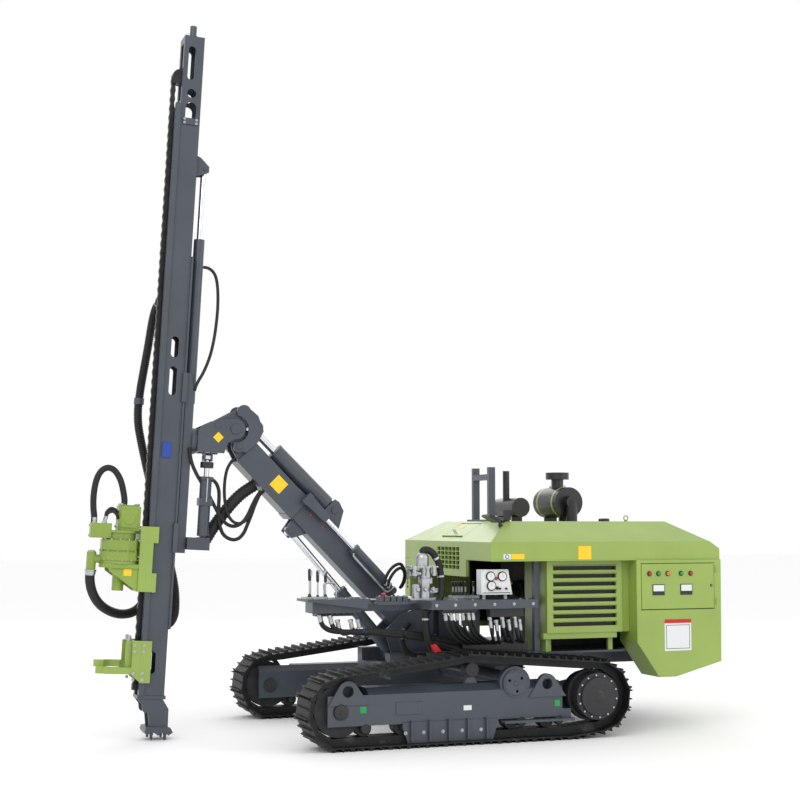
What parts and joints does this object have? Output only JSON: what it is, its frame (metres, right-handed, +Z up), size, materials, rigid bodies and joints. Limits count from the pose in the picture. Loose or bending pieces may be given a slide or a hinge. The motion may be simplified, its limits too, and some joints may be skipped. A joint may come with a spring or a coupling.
{
  "type": "down-the-hole drilling rig",
  "caption": "Down-the-hole drilling rig on crawler tracks with an extending boom, a tilting and swinging feed mast, a rotary head and a side control deck.",
  "frame": {"origin": "on the ground under the middle of the rig length, on the middle plane", "axes": "+X forward towards the mast, +Y to the left side with the controls, +Z up"},
  "size_m": [5.207, 2.4, 5.8746],
  "materials": {
    "dark_steel": "satin black",
    "blue_grey": "semi-gloss blue-grey",
    "lime": "semi-gloss lime green",
    "cast": "dark cast iron",
    "bright": "polished rods",
    "panel_white": "light grey",
    "rubber_black": "matt black"
  },
  "bodies": {
    "base": {"chassis_frame": "blue_grey", "track_left": "dark_steel", "track_right": "dark_steel", "running_gear_left": "dark_steel", "running_gear_right": "dark_steel", "track_frame_left": "blue_grey", "track_frame_right": "blue_grey", "engine": "cast", "hood_shell": "lime", "rear_box_left": "lime", "rear_box_right": "lime", "radiator_left": "lime", "radiator_right": "lime", "deck": "blue_grey", "deck_levers": "bright", "instrument_panel": "panel_white", "inlet_valve": "bright", "console": "blue_grey", "console_levers": "bright", "valve_box": "dark_steel", "control_hose": "rubber_black", "muffler": "dark_steel", "air_cleaner": "dark_steel", "mast_rest": "blue_grey", "work_lamp": "dark_steel"},
    "panel_door": {"panel_door": "lime"},
    "hood_hatch": {"hood_hatch": "lime"},
    "swing_post": {"swing_post": "blue_grey"},
    "lower_boom": {"lower_boom": "blue_grey"},
    "lift_barrel": {"lift_barrel": "blue_grey"},
    "lift_rod": {"lift_rod": "bright"},
    "boom_sleeve": {"boom_sleeve": "blue_grey", "extension_rod": "bright", "boom_hose": "rubber_black"},
    "tilt_barrel": {"tilt_barrel": "blue_grey"},
    "tilt_rod": {"tilt_rod": "bright"},
    "rocker": {"rocker": "blue_grey"},
    "rocker_link": {"rocker_link": "blue_grey"},
    "mast_bracket": {"mast_bracket": "blue_grey"},
    "cradle": {"cradle": "blue_grey", "slide_barrel": "blue_grey", "slide_hose": "rubber_black"},
    "swing_barrel": {"swing_barrel": "blue_grey"},
    "swing_rod": {"swing_rod": "bright"},
    "mast": {"mast_beam": "blue_grey", "mast_foot": "blue_grey", "feed_chain": "dark_steel", "rod_clamp": "lime", "slide_rod": "bright"},
    "carriage": {"carriage": "lime", "rotary_head": "lime", "air_hose": "rubber_black", "head_hose": "rubber_black"},
    "spindle": {"spindle": "lime"}
  },
  "joints": [
    {"name": "boom_swing", "type": "hinge", "parent": "base", "child": "swing_post", "pos_m": [-0.341, 0, 0.7], "axis": [0, 0, 1], "range_deg": [-25, 25]},
    {"name": "boom_lift", "type": "hinge", "parent": "swing_post", "child": "lower_boom", "pos_m": [-0.111, 0, 0.875], "axis": [0, -1, 0], "range_deg": [-20, 15]},
    {"name": "lift_barrel_turn", "type": "hinge", "parent": "swing_post", "child": "lift_barrel", "pos_m": [-0.031, 0, 0.6], "axis": [0, -1, 0], "range_deg": [-18.37, 13.77]},
    {"name": "lift_rod_slide", "type": "slide", "parent": "lift_barrel", "child": "lift_rod", "axis": [0.6592, 0, 0.752], "range_m": [-0.08834, 0.06626]},
    {"name": "boom_extend", "type": "slide", "parent": "lower_boom", "child": "boom_sleeve", "axis": [0.7009, 0, 0.7133], "range_m": [0, 0.45]},
    {"name": "mast_tilt", "type": "hinge", "parent": "boom_sleeve", "child": "mast_bracket", "pos_m": [1.39314, 0, 2.48837], "axis": [0, 1, 0], "range_deg": [-90, 10]},
    {"name": "rocker_turn", "type": "hinge", "parent": "boom_sleeve", "child": "rocker", "pos_m": [1.36114, 0, 2.34596], "axis": [0, 1, 0], "range_deg": [-41.25, 4.58]},
    {"name": "rocker_link_turn", "type": "hinge", "parent": "rocker", "child": "rocker_link", "pos_m": [1.3219, 0, 2.62988], "axis": [0, 1, 0], "range_deg": [-16.47, 1.83]},
    {"name": "tilt_barrel_turn", "type": "hinge", "parent": "boom_sleeve", "child": "tilt_barrel", "pos_m": [0.52279, 0, 1.82526], "axis": [0, 1, 0], "range_deg": [-0.0612, 0.5508]},
    {"name": "tilt_rod_slide", "type": "slide", "parent": "tilt_barrel", "child": "tilt_rod", "axis": [0.7169, 0, 0.6972], "range_m": [-0.14435, 0.01604]},
    {"name": "mast_swing", "type": "hinge", "parent": "mast_bracket", "child": "cradle", "pos_m": [1.84334, 0, 2.3958], "axis": [0.9987, 0, 0.0501], "range_deg": [-25, 25]},
    {"name": "swing_barrel_turn", "type": "hinge", "parent": "cradle", "child": "swing_barrel", "pos_m": [1.65193, 0.096, 1.58019], "axis": [0.9987, 0, 0.0501], "range_deg": [-4.92, 4.92]},
    {"name": "swing_rod_slide", "type": "slide", "parent": "swing_barrel", "child": "swing_rod", "axis": [-0.0501, 0, 0.9987], "range_m": [-0.04133, 0.04133]},
    {"name": "mast_slide", "type": "slide", "parent": "cradle", "child": "mast", "axis": [-0.0501, 0, 0.9987], "range_m": [-0.45, 0.5]},
    {"name": "feed", "type": "slide", "parent": "mast", "child": "carriage", "axis": [-0.0501, 0, 0.9987], "range_m": [-0.3, 3.2]},
    {"name": "spindle_turn", "type": "hinge", "parent": "carriage", "child": "spindle", "pos_m": [2.31666, 0, 1.18297], "axis": [-0.0501, 0, 0.9987], "continuous": true},
    {"name": "panel_door_turn", "type": "hinge", "parent": "base", "child": "panel_door", "pos_m": [-2.557, 0.998, 1.2], "axis": [0, 0, 1], "range_deg": [0, 100]},
    {"name": "hood_hatch_turn", "type": "hinge", "parent": "base", "child": "hood_hatch", "pos_m": [-0.74737, 0, 1.70814], "axis": [0, -1, 0], "range_deg": [0, 70]}
  ],
  "couplings": [
    {"joint": "lift_barrel_turn", "follows": "boom_lift", "ratio": 0.90031},
    {"joint": "lift_rod_slide", "follows": "boom_lift", "m_per_rad": 0.24812},
    {"joint": "rocker_turn", "follows": "mast_tilt", "ratio": 0.44938},
    {"joint": "rocker_link_turn", "follows": "mast_tilt", "ratio": 0.17938},
    {"joint": "tilt_barrel_turn", "follows": "mast_tilt", "ratio": -0.006},
    {"joint": "tilt_rod_slide", "follows": "mast_tilt", "m_per_rad": 0.09009},
    {"joint": "swing_barrel_turn", "follows": "mast_swing", "ratio": 0.1931},
    {"joint": "swing_rod_slide", "follows": "mast_swing", "m_per_rad": -0.09285}
  ]
}
